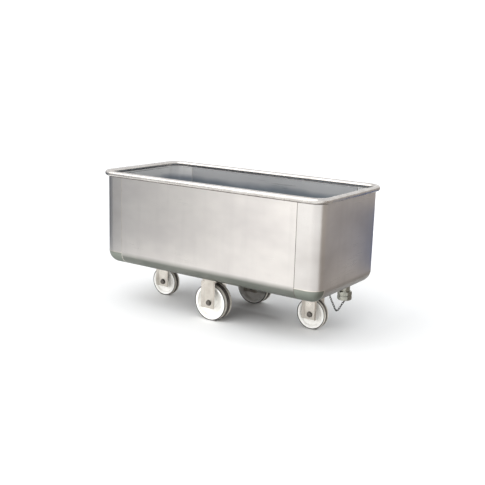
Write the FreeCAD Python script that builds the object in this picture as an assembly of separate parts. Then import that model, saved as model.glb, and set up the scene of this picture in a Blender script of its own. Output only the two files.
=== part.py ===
import FreeCAD, Part
import math
import os

# Mobile stainless tank for bulk milk: an open rectangular trough of bent sheet with a tube rim,
# four pressed corner knuckles, a capped drain under one end, and four casters in a diamond.
# Millimetres.  Origin on the floor under the middle of the tank, +X towards the drain end,
# -Y towards the front, +Z up.

os.makedirs("parts", exist_ok=True)
Vector = FreeCAD.Vector
X_AXIS = Vector(1, 0, 0)
Y_AXIS = Vector(0, 1, 0)
Z_AXIS = Vector(0, 0, 1)

# ---- Tank body ----
TANK_LENGTH = 1050.0          # over the end sheets
TANK_WIDTH = 480.0            # over the side sheets
RIM_HEIGHT = 386.0            # rim tube's centre line above the tank's underside
SHEET = 2.0
CORNER_RADIUS = 52.0          # outside radius of the upright corners and of the bottom edge
END_PANEL_WRAP = 100.0        # how far each end panel comes along the sides

# ---- Rim tube ----
RIM_TUBE_RADIUS = 11.0
RIM_TUBE_WALL = 1.5
RIM_OUTSET = 5.0              # tube's centre line outside the sheet's outer face
WELD_GAP = 0.05               # root gap of a welded or bonded joint between curved faces
HEX_TURNED_END = 0.7          # share of a hexagon's corners turned down at an open end
HEX_SHUT_END = 0.2            # the same at an end that meets another hexagon

# ---- Drain ----
DRAIN_TO_BEND = 4.0           # pipe's outside from the start of the bottom bend
DRAIN_SIDE_INSET = 109.0      # drain's axis from the back face
PIPE_RADIUS = 21.08           # 1 1/4 inch pipe
PIPE_WALL = 3.56
PIPE_DROP = 62.0              # pipe's lower end below the tank's underside
THREAD_PITCH = 2.3
THREAD_DEPTH = 0.9
THREAD_TURNS = 7
HEX_WALL = 4.32               # from the pipe's outside to the flats of the collar and of the cap
HEX_TURN = -9.0               # degrees that the closed cap's flats stand round from the row axes
COLLAR_HEIGHT = 17.5
CAP_HEIGHT = 18.5
CAP_FLOOR = 6.0
CAP_TO_COLLAR = 0.8           # groove between the collar and the closed cap
GASKET_THICKNESS = 1.5
GASKET_LIP = 1.0              # gasket's bore outside the pipe's
THREAD_CLEARANCE = 0.1

# ---- Cap eye, hook and chain ----
EYE_WIRE_RADIUS = 1.0
EYE_RING_RADIUS = 3.6
EYE_SHANK_RADIUS = 3.0
EYE_NECK = 1.5                # shank left showing under the cap
EYE_HEAD_RADIUS = 6.0
EYE_HEAD_THICKNESS = 1.5
EYE_PLAY = 0.2                # round the head, which lies in a recess in the cap's floor
HOOK_WIRE_RADIUS = 1.2
HOOK_RING_RADIUS = 3.6
HOOK_ARC = 285.0              # degrees of each of the S-hook's two loops
HOOK_SLOPE = 197.0            # degrees in the Y-Z plane, along the hook away from the cap
CHAIN_WIRE_RADIUS = 1.1
CHAIN_LINK_WIDTH = 8.4
CHAIN_LINK_COUNT = 15
CHAIN_SLACK = 0.3
CONTACT_GAP = 0.1             # between loops of wire that hang on each other
TAB_THICKNESS = 2.0
TAB_WIDTH = 14.0
TAB_DROP = 16.0
TAB_CORNER_RADIUS = 5.6
TAB_HOLE_RADIUS = 3.4
TAB_HOLE_EDGE = 3.0           # metal left below the hole
TAB_LINK_RISE = 0.5           # first link's bend straddles the tab, so it stands off the hole's edge
TAB_Y = 0.0
CHAIN_SAG_SPAN = 138.867      # from tab to hook, where the chain sags as below
# Sag of the chain between its tab and its hook: share of the span, then drop below the straight line.
CHAIN_SAG = [(0.05, 13.0), (0.2, 28.0), (0.38, 43.0), (0.52, 52.0), (0.62, 49.0), (0.78, 31.0), (0.92, 12.0)]

# ---- Casters: places and wheels ----
RIGID_TO_BEND = 0.5           # rigid caster's outer leg from the start of the bottom bend
CHAIN_TO_WHEEL = 7.5          # swivelling wheel's reach from the chain
RIGID_WHEEL_RADIUS = 76.0
RIGID_WHEEL_WIDTH = 50.0
SWIVEL_WHEEL_RADIUS = 63.5
SWIVEL_WHEEL_WIDTH = 32.0
TRAIL = 32.0                  # swivel caster's axle outside its swivel axis
WHEEL_TO_CROWN = 19.0         # swivel wheel under its fork's crown
WHEEL_TO_STUD = 4.5           # rigid wheel under its studs
TREAD_THICKNESS = 4.0
TREAD_CHAMFER = 2.0
WHEEL_RIM_THICKNESS = 9.0
WHEEL_WEB_THICKNESS = 12.0
WHEEL_DRAFT = 3.0             # slope of the recess walls
RIGID_HUB_RADIUS = 24.0
SWIVEL_HUB_RADIUS = 20.0
FORK_TO_WHEEL = 4.0           # each side between the wheel's side and the fork
FORK_TO_HUB = 0.8

# ---- Axles ----
BOLT_RADIUS = 6.0
BOLT_HOLE_GAP = 0.1
SLEEVE_RADIUS = 8.5
BEARING_RADIUS = 14.0
BEARING_GAP = 0.05            # running clearance of the bearing on its sleeve
BOLT_HEAD_FLATS = 18.0
BOLT_HEAD_HEIGHT = 7.5
AXLE_NUT_HEIGHT = 10.0
BOLT_END = 3.0                # thread showing past the nut

# ---- Fork legs and caster plates ----
LEG_FACE = 46.0               # flat face of a leg
LEG_FLANGE = 11.0             # each flange, out and across
LEG_THICKNESS = 3.5
LEG_CORNER_RADIUS = 12.0
RIGID_LEG_BELOW_AXLE = 23.0
SWIVEL_LEG_BELOW_AXLE = 20.5
PAD_THICKNESS = 5.0
PAD_MARGIN = 5.0              # swivel caster's pad outside its plate
PLATE_THICKNESS = 4.0
SWIVEL_PLATE_LENGTH = 95.0
SWIVEL_PLATE_WIDTH = 82.0
STUD_EDGE = 14.0              # stud's axis from the plate's edges
STUD_RADIUS = 4.0
STUD_NUT_FLATS = 13.0
STUD_NUT_HEIGHT = 6.5
STUD_END = 2.0

# ---- Swivel bearing ----
BALL_RADIUS = 3.5
BALL_CIRCLE_RADIUS = 22.0
BALL_COUNT = 16
BALL_CLEARANCE = 0.1
RACE_RADIUS = 30.0
RACE_HEIGHT = 7.0
RACE_GAP = 1.0
CROWN_THICKNESS = 4.0
CROWN_RADIUS = 34.0
KINGPIN_RADIUS = 6.0
KINGPIN_GAP = 0.05
KINGPIN_HEAD_RADIUS = 10.0
KINGPIN_HEAD_HEIGHT = 6.0
KINGPIN_HEAD_PLAY = 0.3

# ---- Sizes and places that follow from the sizes above ----
RIGID_FORK_GAP = RIGID_WHEEL_WIDTH + 2 * FORK_TO_WHEEL
SWIVEL_FORK_GAP = SWIVEL_WHEEL_WIDTH + 2 * FORK_TO_WHEEL
LEG_LENGTH_X = LEG_FACE + 2 * LEG_FLANGE
RIGID_PLATE_WIDTH = RIGID_FORK_GAP + 2 * LEG_THICKNESS
SWIVEL_STACK = CROWN_THICKNESS + 2 * RACE_HEIGHT + RACE_GAP
STUD_STACK = STUD_NUT_HEIGHT + STUD_END
PLATE_BOTTOM_Z = max(
    2 * SWIVEL_WHEEL_RADIUS + WHEEL_TO_CROWN + SWIVEL_STACK,
    2 * RIGID_WHEEL_RADIUS + WHEEL_TO_STUD + STUD_STACK)
PLATE_TOP_Z = PLATE_BOTTOM_Z + PLATE_THICKNESS
UNDERSIDE_Z = PLATE_TOP_Z + PAD_THICKNESS
BALL_Z = PLATE_BOTTOM_Z - RACE_HEIGHT - RACE_GAP / 2
CROWN_TOP_Z = PLATE_BOTTOM_Z - 2 * RACE_HEIGHT - RACE_GAP
CROWN_BOTTOM_Z = CROWN_TOP_Z - CROWN_THICKNESS

HALF_LENGTH = TANK_LENGTH / 2
HALF_WIDTH = TANK_WIDTH / 2
RIM_Z = UNDERSIDE_Z + RIM_HEIGHT
SEAM_X = HALF_LENGTH - END_PANEL_WRAP
KNUCKLE_Y = HALF_WIDTH - CORNER_RADIUS
KNUCKLE_TOP_Z = UNDERSIDE_Z + CORNER_RADIUS
RIM_SIT = math.sqrt(RIM_TUBE_RADIUS ** 2 - RIM_OUTSET ** 2) + WELD_GAP
WALL_TOP_Z = RIM_Z - RIM_SIT

PIPE_BORE_RADIUS = PIPE_RADIUS - PIPE_WALL
HEX_FLATS = 2 * (PIPE_RADIUS + HEX_WALL)
DRAIN_X = HALF_LENGTH - CORNER_RADIUS - PIPE_RADIUS - DRAIN_TO_BEND
DRAIN_Y = HALF_WIDTH - DRAIN_SIDE_INSET
PIPE_END_Z = UNDERSIDE_Z - PIPE_DROP
CAP_SEAT_Z = PIPE_END_Z - GASKET_THICKNESS
CAP_BOTTOM_Z = CAP_SEAT_Z - CAP_FLOOR
CAP_TOP_Z = CAP_BOTTOM_Z + CAP_HEIGHT
EYE_RING_Z = CAP_BOTTOM_Z - EYE_NECK - EYE_RING_RADIUS

RIGID_Y = KNUCKLE_Y - RIGID_TO_BEND - RIGID_PLATE_WIDTH / 2
SWIVEL_X = DRAIN_X - CHAIN_TO_WHEEL - SWIVEL_WHEEL_RADIUS - TRAIL


def save(name, *solids):
    """Write one named piece, or a group of loose like pieces, as a STEP file."""
    shape = solids[0] if len(solids) == 1 else Part.makeCompound(list(solids))
    shape.exportStep("parts/" + name + ".step")


def block(x0, x1, y0, y1, z0, z1):
    """Box between two corners."""
    return Part.makeBox(x1 - x0, y1 - y0, z1 - z0, Vector(x0, y0, z0))


def cylinder(radius, start, end):
    """Cylinder from one point to another."""
    way = end - start
    return Part.makeCylinder(radius, way.Length, start, way)


def tube(outer, inner, start, end):
    """Round tube from one point to another."""
    return cylinder(outer, start, end).cut(cylinder(inner, start, end))


def polygon_face(points):
    """Flat face inside a closed outline of points."""
    return Part.Face(Part.makePolygon(list(points) + [points[0]]))


def hexagon(flats, start, end, turn=0.0, chamfers=(HEX_TURNED_END, HEX_TURNED_END)):
    """Hexagonal bar between two points, turned about its axis, with its corners turned down at the ends."""
    way = end - start
    unit = Vector(way)
    unit.normalize()
    corner = flats / math.sqrt(3)
    side = unit.cross(X_AXIS)
    other = unit.cross(side)
    points = []
    for step in range(6):
        angle = math.radians(60 * step + turn)
        points.append(start + side * (corner * math.cos(angle)) + other * (corner * math.sin(angle)))
    bar = polygon_face(points).extrude(way)
    low_drop, high_drop = [(corner - flats / 2) * share for share in chamfers]
    profile = [
        start,
        start + side * (flats / 2),
        start + side * corner + unit * low_drop,
        end + side * corner - unit * high_drop,
        end + side * (flats / 2),
        end,
    ]
    turned = polygon_face(profile).revolve(start, unit, 360)
    return bar.common(turned)


def ring_arc(centre, axis, start_radius_vector, wire_radius, angle):
    """Round wire bent to an arc about an axis, starting at the end of a radius vector."""
    start = centre + start_radius_vector
    tangent = Vector(axis).cross(start_radius_vector)
    circle = Part.Circle(start, tangent, wire_radius)
    disc = Part.Face(Part.Wire([circle.toShape()]))
    return disc.revolve(centre, axis, angle)


# ---------------------------------------------------------------- tank shell

def rounded_tub(inset):
    """Solid tub with rounded upright corners and bottom edge, a sheet's inset in from outside."""
    x = HALF_LENGTH - inset
    y = HALF_WIDTH - inset
    tub = block(-x, x, -y, y, UNDERSIDE_Z + inset, RIM_Z)
    radius = CORNER_RADIUS - inset
    edges = []
    for edge in tub.Edges:
        box = edge.BoundBox
        upright = box.ZLength > 1
        at_bottom = box.ZMax < UNDERSIDE_Z + inset + 1
        if upright or at_bottom:
            edges.append(edge)
    return tub.makeFillet(radius, edges)


def make_tank_shell():
    """Bent trough sheet, two wrapped end panels and four pressed corner knuckles, butt welded."""
    walls = rounded_tub(0).cut(rounded_tub(SHEET))
    reach = TANK_LENGTH
    walls = walls.common(block(-reach, reach, -reach, reach, 0, WALL_TOP_Z))
    drain = Vector(DRAIN_X, DRAIN_Y, 0)
    walls = walls.cut(cylinder(PIPE_BORE_RADIUS, drain, drain + Z_AXIS * RIM_Z))
    save("trough_sheet", walls.common(block(-SEAM_X, SEAM_X, -reach, reach, 0, RIM_Z)))
    for side, end_name in ((-1, "left"), (1, "right")):
        near, far = sorted((side * SEAM_X, side * reach))
        panel = walls.common(block(near, far, -reach, reach, 0, RIM_Z))
        for face, face_name in ((-1, "front"), (1, "back")):
            low, high = sorted((face * KNUCKLE_Y, face * reach))
            corner = block(near, far, low, high, 0, KNUCKLE_TOP_Z)
            save("corner_knuckle_" + face_name + "_" + end_name, walls.common(corner))
            panel = panel.cut(corner)
        save("end_panel_" + end_name, panel)


def make_rim():
    """Rim tube: four straight rails, and four quarter bends butted between them."""
    x = HALF_LENGTH + RIM_OUTSET
    y = HALF_WIDTH + RIM_OUTSET
    bend = CORNER_RADIUS + RIM_OUTSET
    bore = RIM_TUBE_RADIUS - RIM_TUBE_WALL
    rails = []
    bends = []
    for side in (-1, 1):
        along = Vector(-(x - bend), side * y, RIM_Z), Vector(x - bend, side * y, RIM_Z)
        across = Vector(side * x, -(y - bend), RIM_Z), Vector(side * x, y - bend, RIM_Z)
        rails.append(tube(RIM_TUBE_RADIUS, bore, *along))
        rails.append(tube(RIM_TUBE_RADIUS, bore, *across))
        for face in (-1, 1):
            centre = Vector(side * (x - bend), face * (y - bend), RIM_Z)
            axis = Z_AXIS * (side * face)
            start = X_AXIS * (side * bend)
            outer = ring_arc(centre, axis, start, RIM_TUBE_RADIUS, 90)
            bends.append(outer.cut(ring_arc(centre, axis, start, bore, 90)))
    save("rim_rails", *rails)
    save("rim_bends", *bends)


# ---------------------------------------------------------------- drain

def make_drain():
    """Pipe stub welded under the outlet, hex collar, gasket and hex cap."""
    top = Vector(DRAIN_X, DRAIN_Y, UNDERSIDE_Z)
    end = Vector(DRAIN_X, DRAIN_Y, PIPE_END_Z)
    pipe = tube(PIPE_RADIUS, PIPE_BORE_RADIUS, end, top)
    groove_root_x = DRAIN_X + PIPE_RADIUS - THREAD_DEPTH
    outside_x = groove_root_x + 2 * THREAD_DEPTH
    for turn in range(THREAD_TURNS):
        z = PIPE_END_Z + THREAD_PITCH * (turn + 0.5)
        groove = [
            Vector(groove_root_x, DRAIN_Y, z),
            Vector(outside_x, DRAIN_Y, z - THREAD_PITCH / 2),
            Vector(outside_x, DRAIN_Y, z + THREAD_PITCH / 2),
        ]
        pipe = pipe.cut(polygon_face(groove).revolve(end, Z_AXIS, 360))
    save("drain_spud", pipe)

    collar_low = Vector(DRAIN_X, DRAIN_Y, CAP_TOP_Z + CAP_TO_COLLAR)
    collar_high = collar_low + Z_AXIS * COLLAR_HEIGHT
    collar = hexagon(HEX_FLATS, collar_low, collar_high, HEX_TURN, (HEX_SHUT_END, HEX_TURNED_END))
    save("drain_collar", collar.cut(cylinder(PIPE_RADIUS + THREAD_CLEARANCE, collar_low, collar_high)))

    cap_low = Vector(DRAIN_X, DRAIN_Y, CAP_BOTTOM_Z)
    cap_high = Vector(DRAIN_X, DRAIN_Y, CAP_TOP_Z)
    seat = Vector(DRAIN_X, DRAIN_Y, CAP_SEAT_Z)
    cap = hexagon(HEX_FLATS, cap_low, cap_high, HEX_TURN, (HEX_TURNED_END, HEX_SHUT_END))
    cap = cap.cut(cylinder(PIPE_RADIUS + THREAD_CLEARANCE, seat, cap_high))
    recess = seat - Z_AXIS * (EYE_HEAD_THICKNESS + 2 * EYE_PLAY)
    cap = cap.cut(cylinder(EYE_HEAD_RADIUS + EYE_PLAY, recess, seat))
    save("drain_cap", cap.cut(cylinder(EYE_SHANK_RADIUS + BEARING_GAP, cap_low, seat)))
    save("drain_gasket", tube(PIPE_RADIUS, PIPE_BORE_RADIUS + GASKET_LIP, seat, end))


def make_cap_eye():
    """Swivel eye riveted through the middle of the cap: head recessed inside, ring below."""
    ring_centre = Vector(DRAIN_X, DRAIN_Y, EYE_RING_Z)
    ring = ring_arc(ring_centre, Y_AXIS, Z_AXIS * EYE_RING_RADIUS, EYE_WIRE_RADIUS, 360)
    shank_low = Vector(DRAIN_X, DRAIN_Y, CAP_BOTTOM_Z - EYE_NECK)
    head_high = Vector(DRAIN_X, DRAIN_Y, CAP_SEAT_Z - EYE_PLAY)
    head_low = head_high - Z_AXIS * EYE_HEAD_THICKNESS
    shank = cylinder(EYE_SHANK_RADIUS, shank_low, head_low)
    save("cap_eye", ring.fuse(shank).fuse(cylinder(EYE_HEAD_RADIUS, head_low, head_high)))


def hook_point(distance):
    """Point along the S-hook's line, measured from the middle of the eye's lowest wire."""
    turn = math.radians(HOOK_SLOPE)
    way = Vector(0, math.cos(turn), math.sin(turn))
    return Vector(DRAIN_X, DRAIN_Y, EYE_RING_Z - EYE_RING_RADIUS) + way * distance


HOOK_START = -(EYE_WIRE_RADIUS + HOOK_WIRE_RADIUS + CONTACT_GAP)
HOOK_END = HOOK_START + 4 * HOOK_RING_RADIUS


def make_cap_hook():
    """S-hook of two open loops, hung on the eye's ring and slanting towards the chain."""
    joint = hook_point(HOOK_START + 2 * HOOK_RING_RADIUS)
    near_centre = hook_point(HOOK_START + HOOK_RING_RADIUS)
    far_centre = hook_point(HOOK_START + 3 * HOOK_RING_RADIUS)
    near_loop = ring_arc(near_centre, X_AXIS, joint - near_centre, HOOK_WIRE_RADIUS, HOOK_ARC)
    far_loop = ring_arc(far_centre, X_AXIS, joint - far_centre, HOOK_WIRE_RADIUS, HOOK_ARC)
    save("cap_hook", near_loop.fuse(far_loop))


def make_chain_tab():
    """Welded tab with one hole, which holds the chain's other end."""
    low = UNDERSIDE_Z - TAB_DROP
    tab = block(
        DRAIN_X - TAB_THICKNESS / 2, DRAIN_X + TAB_THICKNESS / 2,
        TAB_Y - TAB_WIDTH / 2, TAB_Y + TAB_WIDTH / 2,
        low, UNDERSIDE_Z)
    bottom_edges = [e for e in tab.Edges if e.BoundBox.XLength > 1 and e.BoundBox.ZMax < low + 1]
    tab = tab.makeFillet(TAB_CORNER_RADIUS, bottom_edges)
    hole_z = low + TAB_HOLE_EDGE + TAB_HOLE_RADIUS
    hole = cylinder(
        TAB_HOLE_RADIUS,
        Vector(DRAIN_X - TAB_THICKNESS, TAB_Y, hole_z),
        Vector(DRAIN_X + TAB_THICKNESS, TAB_Y, hole_z))
    save("chain_tab", tab.cut(hole))


def chain_joints():
    """Points where neighbouring links bear on each other, at equal steps along the sagging chain."""
    first = Vector(DRAIN_X, TAB_Y, UNDERSIDE_Z - TAB_DROP + TAB_HOLE_EDGE + TAB_LINK_RISE)
    last = hook_point(HOOK_END - HOOK_WIRE_RADIUS)
    scale = (last - first).Length / CHAIN_SAG_SPAN
    route = [first]
    for share, drop in CHAIN_SAG:
        route.append(first + (last - first) * share - Z_AXIS * (drop * scale))
    route.append(last)
    curve = Part.BSplineCurve()
    curve.interpolate(route)

    def walk(pitch):
        """Joints at one pitch, and how far the last one falls short of the curve's end."""
        joints = [first]
        place = curve.FirstParameter
        while len(joints) <= CHAIN_LINK_COUNT:
            low = place
            high = curve.LastParameter
            if (curve.value(high) - joints[-1]).Length < pitch:
                return joints, pitch * (CHAIN_LINK_COUNT + 1 - len(joints))
            for _ in range(40):
                middle = (low + high) / 2
                if (curve.value(middle) - joints[-1]).Length < pitch:
                    low = middle
                else:
                    high = middle
            place = high
            joints.append(curve.value(place))
        return joints, -(curve.value(curve.LastParameter) - joints[-1]).Length

    short = 1.0
    long = curve.length() / CHAIN_LINK_COUNT * 1.5
    for _ in range(50):
        pitch = (short + long) / 2
        joints, excess = walk(pitch)
        if excess > 0:
            long = pitch
        else:
            short = pitch
    joints, _ = walk(short)
    return joints


def chain_link(start, end, flat):
    """Oval link between two bearing points; flat is the direction across the link."""
    way = end - start
    inner = way.Length + CHAIN_SLACK
    way.normalize()
    normal = way.cross(flat)
    normal.normalize()
    across = normal.cross(way)
    bend = (CHAIN_LINK_WIDTH - 2 * CHAIN_WIRE_RADIUS) / 2
    straight = inner + 2 * CHAIN_WIRE_RADIUS - 2 * bend
    middle = (start + end) * 0.5
    near = middle - way * (straight / 2)
    far = middle + way * (straight / 2)
    aside = across * bend
    route = Part.Wire([
        Part.makeLine(near + aside, far + aside),
        Part.Arc(far + aside, far + way * bend, far - aside).toShape(),
        Part.makeLine(far - aside, near - aside),
        Part.Arc(near - aside, near - way * bend, near + aside).toShape(),
    ])
    section = Part.Wire([Part.makeCircle(CHAIN_WIRE_RADIUS, near + aside, way)])
    return route.makePipeShell([section], True, True)


def make_chain():
    """Chain of welded oval links, each turned a quarter from the last."""
    joints = chain_joints()
    links = []
    for index in range(CHAIN_LINK_COUNT):
        start = joints[index]
        end = joints[index + 1]
        in_plane = X_AXIS.cross(end - start)
        links.append(chain_link(start, end, X_AXIS if index % 2 == 0 else in_plane))
    save("cap_chain", *links)


# ---------------------------------------------------------------- casters

def make_wheel(name, axle, radius, width, hub_radius, fork_gap):
    """Wheel core with recessed sides, bonded tread and hub bearing, turning about Y."""
    half = width / 2
    hub_half = fork_gap / 2 - FORK_TO_HUB
    web_half = WHEEL_WEB_THICKNESS / 2
    core_radius = radius - TREAD_THICKNESS - WELD_GAP
    rim_inner = core_radius - WHEEL_RIM_THICKNESS
    bore = BEARING_RADIUS + WELD_GAP

    def turned(outline):
        """Solid of revolution about the axle, from (radius, sideways) points."""
        points = [axle + X_AXIS * r + Y_AXIS * y for r, y in outline]
        return polygon_face(points).revolve(axle, Y_AXIS, 360)

    one_side = [
        (bore, hub_half),
        (hub_radius, hub_half),
        (hub_radius + WHEEL_DRAFT, web_half),
        (rim_inner - WHEEL_DRAFT, web_half),
        (rim_inner, half),
        (core_radius, half),
    ]
    save("wheel_core_" + name, turned(one_side + [(r, -y) for r, y in reversed(one_side)]))
    tread_side = [
        (radius - TREAD_THICKNESS, half),
        (radius - TREAD_CHAMFER, half),
        (radius, half - TREAD_CHAMFER),
    ]
    save("tread_" + name, turned(tread_side + [(r, -y) for r, y in reversed(tread_side)]))
    end = Y_AXIS * hub_half
    save("hub_bearing_" + name, tube(BEARING_RADIUS, SLEEVE_RADIUS + BEARING_GAP, axle - end, axle + end))


def make_axle(name, axle, fork_gap):
    """Axle bolt with its head to the front, its nut behind, and the sleeve between the legs."""
    inside = fork_gap / 2
    outside = inside + LEG_THICKNESS
    head_face = axle - Y_AXIS * outside
    nut_face = axle + Y_AXIS * outside
    shank_end = nut_face + Y_AXIS * (AXLE_NUT_HEIGHT + BOLT_END)
    head = hexagon(BOLT_HEAD_FLATS, head_face - Y_AXIS * BOLT_HEAD_HEIGHT, head_face)
    save("axle_bolt_" + name, head.fuse(cylinder(BOLT_RADIUS, head_face, shank_end)))
    nut_end = nut_face + Y_AXIS * AXLE_NUT_HEIGHT
    nut = hexagon(BOLT_HEAD_FLATS, nut_face, nut_end)
    save("axle_nut_" + name, nut.cut(cylinder(BOLT_RADIUS + BOLT_HOLE_GAP, nut_face, nut_end)))
    sleeve_ends = axle - Y_AXIS * inside, axle + Y_AXIS * inside
    save("axle_sleeve_" + name, tube(SLEEVE_RADIUS, BOLT_RADIUS + BOLT_HOLE_GAP, *sleeve_ends))


def fork_leg(middle_x, inside_y, top_z, bottom_z, side, axle):
    """Channel leg with both long edges turned outward, rounded lower corners and an axle hole."""
    half_face = LEG_FACE / 2
    skew = LEG_THICKNESS / math.sqrt(2)
    mitre = LEG_THICKNESS * math.tan(math.radians(22.5))
    one_side = [
        (half_face, 0),
        (half_face + LEG_FLANGE, LEG_FLANGE),
        (half_face + LEG_FLANGE - skew, LEG_FLANGE + skew),
        (half_face - mitre, LEG_THICKNESS),
    ]
    outline = one_side + [(-x, y) for x, y in reversed(one_side)]
    points = [Vector(middle_x + x, side * (inside_y + y), bottom_z) for x, y in outline]
    leg = polygon_face(points).extrude(Z_AXIS * (top_z - bottom_z))
    half_leg = LEG_LENGTH_X / 2
    reach = inside_y + LEG_FLANGE + 2 * LEG_THICKNESS
    trim = block(middle_x - half_leg, middle_x + half_leg, -reach, reach, bottom_z, top_z)
    lower_edges = [e for e in trim.Edges if e.BoundBox.YLength > 1 and e.BoundBox.ZMax < bottom_z + 1]
    leg = leg.common(trim.makeFillet(LEG_CORNER_RADIUS, lower_edges))
    hole = cylinder(BOLT_RADIUS + BOLT_HOLE_GAP, axle - Y_AXIS * reach, axle + Y_AXIS * reach)
    return leg.cut(hole)


def stud_places(length, width):
    """Stud positions about the middle of a caster plate."""
    x = length / 2 - STUD_EDGE
    y = width / 2 - STUD_EDGE
    return [(i * x, j * y) for i in (-1, 1) for j in (-1, 1)]


def caster_plate(centre, length, width):
    """Rectangular caster plate with a clearance hole on each stud."""
    x, y = centre
    half_length = length / 2
    half_width = width / 2
    plate = block(x - half_length, x + half_length, y - half_width, y + half_width,
                  PLATE_BOTTOM_Z, PLATE_TOP_Z)
    for dx, dy in stud_places(length, width):
        low = Vector(x + dx, y + dy, PLATE_BOTTOM_Z)
        plate = plate.cut(cylinder(STUD_RADIUS + BOLT_HOLE_GAP, low, low + Z_AXIS * PLATE_THICKNESS))
    return plate


def make_mounting(name, centre, length, width, margin):
    """Pad welded under the tank with four studs, and the nuts that hold a caster plate to it."""
    x, y = centre
    half_length = length / 2 + margin
    half_width = width / 2 + margin
    pad = block(x - half_length, x + half_length, y - half_width, y + half_width,
                PLATE_TOP_Z, UNDERSIDE_Z)
    nuts = []
    stud_low_z = PLATE_BOTTOM_Z - STUD_STACK
    for dx, dy in stud_places(length, width):
        foot = Vector(x + dx, y + dy, stud_low_z)
        pad = pad.fuse(cylinder(STUD_RADIUS, foot, Vector(x + dx, y + dy, PLATE_TOP_Z)))
        nut_top = Vector(x + dx, y + dy, PLATE_BOTTOM_Z)
        nut_low = nut_top - Z_AXIS * STUD_NUT_HEIGHT
        nut = hexagon(STUD_NUT_FLATS, nut_low, nut_top)
        nuts.append(nut.cut(cylinder(STUD_RADIUS + BOLT_HOLE_GAP, nut_low, nut_top)))
    save("caster_pad_" + name, pad)
    save("plate_nuts_" + name, *nuts)


def make_rigid_caster(name, y):
    """Caster that doesn't swivel: yoke of a narrow crown and two legs, with wheel and axle."""
    axle = Vector(0, y, RIGID_WHEEL_RADIUS)
    make_mounting(name, (0, y), LEG_LENGTH_X, RIGID_PLATE_WIDTH, 0)
    yoke = caster_plate((0, 0), LEG_LENGTH_X, RIGID_PLATE_WIDTH)
    leg_low = RIGID_WHEEL_RADIUS - RIGID_LEG_BELOW_AXLE
    for side in (-1, 1):
        hole_axis = Vector(0, 0, RIGID_WHEEL_RADIUS)
        yoke = yoke.fuse(fork_leg(0, RIGID_FORK_GAP / 2, PLATE_BOTTOM_Z, leg_low, side, hole_axis))
    yoke.translate(Y_AXIS * y)
    save("rigid_yoke_" + name, yoke)
    make_wheel(name, axle, RIGID_WHEEL_RADIUS, RIGID_WHEEL_WIDTH, RIGID_HUB_RADIUS, RIGID_FORK_GAP)
    make_axle(name, axle, RIGID_FORK_GAP)


def race_groove(x):
    """Ring-shaped groove that the swivel balls run in."""
    centre = Vector(x, 0, BALL_Z)
    return ring_arc(centre, Z_AXIS, X_AXIS * BALL_CIRCLE_RADIUS, BALL_RADIUS + BALL_CLEARANCE, 360)


def make_swivel_caster(name, side):
    """Swivel caster: plate with upper race, kingpin, balls, fork with lower race, wheel and axle."""
    x = side * SWIVEL_X
    axle_x = x + side * TRAIL
    axle = Vector(axle_x, 0, SWIVEL_WHEEL_RADIUS)
    make_mounting(name, (x, 0), SWIVEL_PLATE_LENGTH, SWIVEL_PLATE_WIDTH, PAD_MARGIN)

    def on_axis(z):
        """Point on the swivel axis."""
        return Vector(x, 0, z)

    plate = caster_plate((x, 0), SWIVEL_PLATE_LENGTH, SWIVEL_PLATE_WIDTH)
    upper_low = PLATE_BOTTOM_Z - RACE_HEIGHT
    plate = plate.fuse(cylinder(RACE_RADIUS, on_axis(upper_low), on_axis(PLATE_BOTTOM_Z)))
    plate = plate.cut(cylinder(KINGPIN_RADIUS + KINGPIN_GAP, on_axis(upper_low), on_axis(PLATE_TOP_Z)))
    save("top_plate_" + name, plate.cut(race_groove(x)))

    head_top = CROWN_BOTTOM_Z - KINGPIN_HEAD_PLAY
    head_low = head_top - KINGPIN_HEAD_HEIGHT
    kingpin = cylinder(KINGPIN_RADIUS, on_axis(head_top), on_axis(PLATE_TOP_Z))
    save("kingpin_" + name, kingpin.fuse(cylinder(KINGPIN_HEAD_RADIUS, on_axis(head_low), on_axis(head_top))))

    balls = []
    for index in range(BALL_COUNT):
        turn = 2 * math.pi * index / BALL_COUNT
        place = Vector(BALL_CIRCLE_RADIUS * math.cos(turn), BALL_CIRCLE_RADIUS * math.sin(turn), 0)
        balls.append(Part.makeSphere(BALL_RADIUS, on_axis(BALL_Z) + place))
    save("swivel_balls_" + name, *balls)

    half_leg = LEG_LENGTH_X / 2
    half_crown = SWIVEL_FORK_GAP / 2 + LEG_FLANGE + LEG_THICKNESS
    crown = block(axle_x - half_leg, axle_x + half_leg, -half_crown, half_crown,
                  CROWN_BOTTOM_Z, CROWN_TOP_Z)
    fork = crown.fuse(cylinder(CROWN_RADIUS, on_axis(CROWN_BOTTOM_Z), on_axis(CROWN_TOP_Z)))
    lower_top = CROWN_TOP_Z + RACE_HEIGHT
    fork = fork.fuse(cylinder(RACE_RADIUS, on_axis(CROWN_TOP_Z), on_axis(lower_top)))
    leg_low = SWIVEL_WHEEL_RADIUS - SWIVEL_LEG_BELOW_AXLE
    for leg_side in (-1, 1):
        fork = fork.fuse(
            fork_leg(axle_x, SWIVEL_FORK_GAP / 2, CROWN_BOTTOM_Z, leg_low, leg_side, axle))
    fork = fork.cut(cylinder(KINGPIN_RADIUS + KINGPIN_GAP, on_axis(CROWN_BOTTOM_Z), on_axis(lower_top)))
    save("swivel_fork_" + name, fork.cut(race_groove(x)))
    make_wheel(name, axle, SWIVEL_WHEEL_RADIUS, SWIVEL_WHEEL_WIDTH, SWIVEL_HUB_RADIUS, SWIVEL_FORK_GAP)
    make_axle(name, axle, SWIVEL_FORK_GAP)


make_tank_shell()
make_rim()
make_drain()
make_cap_eye()
make_cap_hook()
make_chain_tab()
make_chain()
make_rigid_caster("front", -RIGID_Y)
make_rigid_caster("back", RIGID_Y)
make_swivel_caster("left", -1)
make_swivel_caster("right", 1)
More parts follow.
